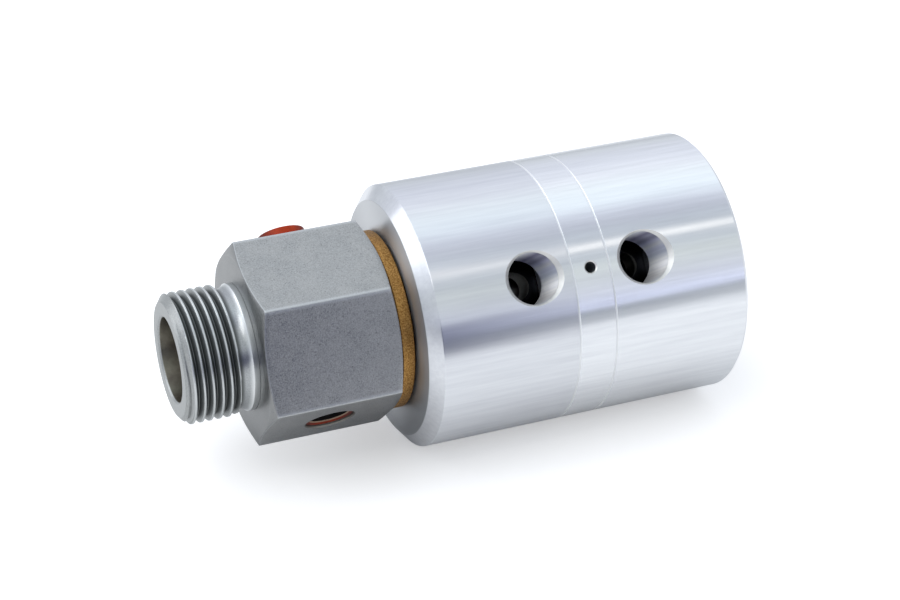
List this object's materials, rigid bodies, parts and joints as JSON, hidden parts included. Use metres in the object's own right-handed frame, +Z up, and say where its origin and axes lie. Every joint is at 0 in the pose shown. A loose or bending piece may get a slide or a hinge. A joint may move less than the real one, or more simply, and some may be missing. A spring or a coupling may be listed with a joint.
{
  "type": "rotary union",
  "caption": "Rotary union for two fluid passages: hollow threaded stud with hexagon, turning in a round ported housing.",
  "frame": {"origin": "centre of the stud's thread, on the rotation axis", "axes": "+X along the rotation axis from the stud towards the rear cover, +Z up"},
  "size_m": [0.143, 0.068, 0.068],
  "materials": {
    "zinc_steel": "dull plated, turned and milled",
    "steel": "turned",
    "screw_steel": "black oxide",
    "aluminium": "bright turned",
    "bronze": "sintered, dull",
    "seal_plastic": "matte",
    "rubber": "matte",
    "orange_plastic": "moulded"
  },
  "bodies": {
    "rotor": {"rotor_shaft": "zinc_steel", "passage_tube": "steel", "tube_front_seal": "rubber", "tube_rear_seal": "rubber", "shaft_end_plug": "steel", "end_plug_seal": "rubber", "front_thrust_washer": "bronze", "support_washer": "steel", "shaft_retaining_ring": "screw_steel"},
    "stator": {"housing": "aluminium", "dust_wiper": "rubber", "front_bush": "bronze", "rear_bush": "bronze", "slipper_seal_1": "seal_plastic", "slipper_seal_2": "seal_plastic", "slipper_seal_3": "seal_plastic", "slipper_seal_4": "seal_plastic", "seal_energiser_1": "rubber", "seal_energiser_2": "rubber", "seal_energiser_3": "rubber", "seal_energiser_4": "rubber", "rear_cover": "aluminium", "cover_seal_ring": "rubber", "cover_screws": "screw_steel"},
    "upper_plug": {"upper_port_plug": "orange_plastic"},
    "lower_plug": {"lower_port_plug": "orange_plastic"}
  },
  "joints": [
    {"name": "housing_turn", "type": "hinge", "parent": "rotor", "child": "stator", "pos_m": [0.09344, 0, 0], "axis": [1, 0, 0], "continuous": true},
    {"name": "upper_plug_pull", "type": "slide", "parent": "rotor", "child": "upper_plug", "axis": [0, 0.7242, 0.6896], "range_m": [-0.0047, 0.0065]},
    {"name": "lower_plug_pull", "type": "slide", "parent": "rotor", "child": "lower_plug", "axis": [0, -0.7242, -0.6896], "range_m": [0, 0.0112]}
  ]
}
